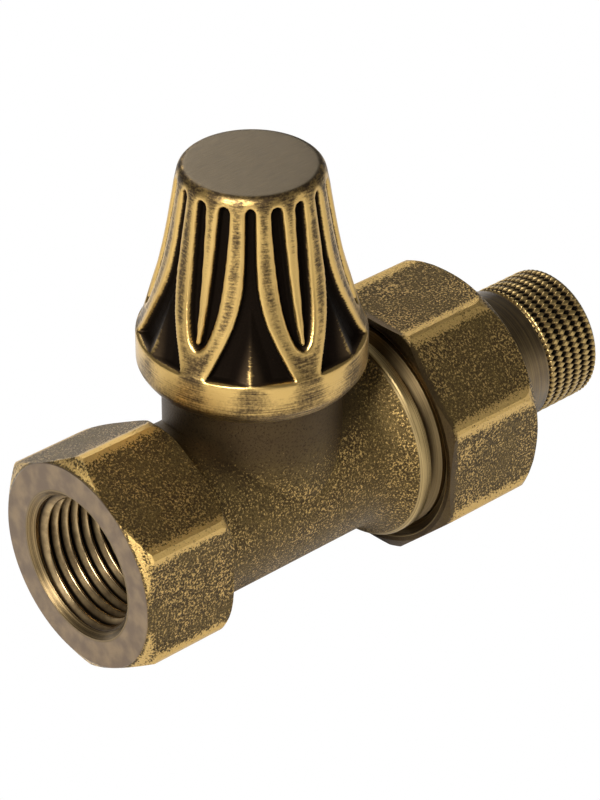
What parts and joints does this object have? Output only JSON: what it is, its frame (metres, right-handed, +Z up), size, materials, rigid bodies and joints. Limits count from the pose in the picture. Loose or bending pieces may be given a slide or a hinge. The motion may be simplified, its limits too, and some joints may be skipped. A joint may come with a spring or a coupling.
{
  "type": "straight radiator valve",
  "caption": "Straight radiator valve: hexagon inlet socket, fluted hand knob on a short neck, octagon union nut and threaded tailpiece, in antique bronze.",
  "frame": {"origin": "centre of the inlet face, on the pipe axis", "axes": "+X along the pipe from the inlet to the tailpiece, +Z up the spindle axis to the knob, +Y completes the right-handed set"},
  "size_m": [0.095, 0.0386, 0.0723],
  "materials": {
    "body_bronze": "antique bronze, grit blasted, rubbed on its edges",
    "nut_bronze": "antique bronze, grit blasted flats, smooth turned rims",
    "knob_bronze": "antique bronze, brushed relief with blackened flutes",
    "tail_bronze": "antique bronze, turned and brushed",
    "plain_brass": "turned bright brass",
    "black_rubber": "matt black rubber",
    "white_plastic": "matt off-white plastic",
    "spring_steel": "bright drawn steel"
  },
  "bodies": {
    "body": {"valve_body": "body_bronze", "bonnet": "plain_brass", "bonnet_o_ring": "black_rubber", "gland_nut": "plain_brass", "gland_o_ring": "black_rubber", "thrust_washer_lower": "white_plastic", "thrust_washer_upper": "white_plastic"},
    "knob_and_spindle": {"spindle": "plain_brass", "spindle_o_ring_lower": "black_rubber", "spindle_o_ring_upper": "black_rubber", "knob": "knob_bronze", "knob_insert": "white_plastic", "knob_clip": "spring_steel"},
    "plug": {"plug": "plain_brass", "plug_seal": "black_rubber", "seal_washer": "plain_brass", "seal_screw": "spring_steel"},
    "tailpiece": {"tailpiece": "tail_bronze", "tailpiece_o_ring": "black_rubber"},
    "union_nut": {"union_nut": "nut_bronze"}
  },
  "joints": [
    {"name": "knob_turn", "type": "hinge", "parent": "body", "child": "knob_and_spindle", "pos_m": [0.033, 0, 0.03], "axis": [0, 0, 1], "range_deg": [0, 900]},
    {"name": "plug_lift", "type": "slide", "parent": "knob_and_spindle", "child": "plug", "axis": [0, 0, 1], "range_m": [0, 0.00375]},
    {"name": "union_draw", "type": "slide", "parent": "body", "child": "tailpiece", "axis": [1, 0, 0], "range_m": [0, 0.0081]},
    {"name": "union_nut_turn", "type": "hinge", "parent": "tailpiece", "child": "union_nut", "pos_m": [0.06, 0, 0], "axis": [1, 0, 0], "range_deg": [0, 1263]}
  ],
  "couplings": [
    {"joint": "plug_lift", "follows": "knob_turn", "m_per_rad": 0.00023873},
    {"joint": "union_nut_turn", "follows": "union_draw", "rad_per_m": 2721.2}
  ]
}
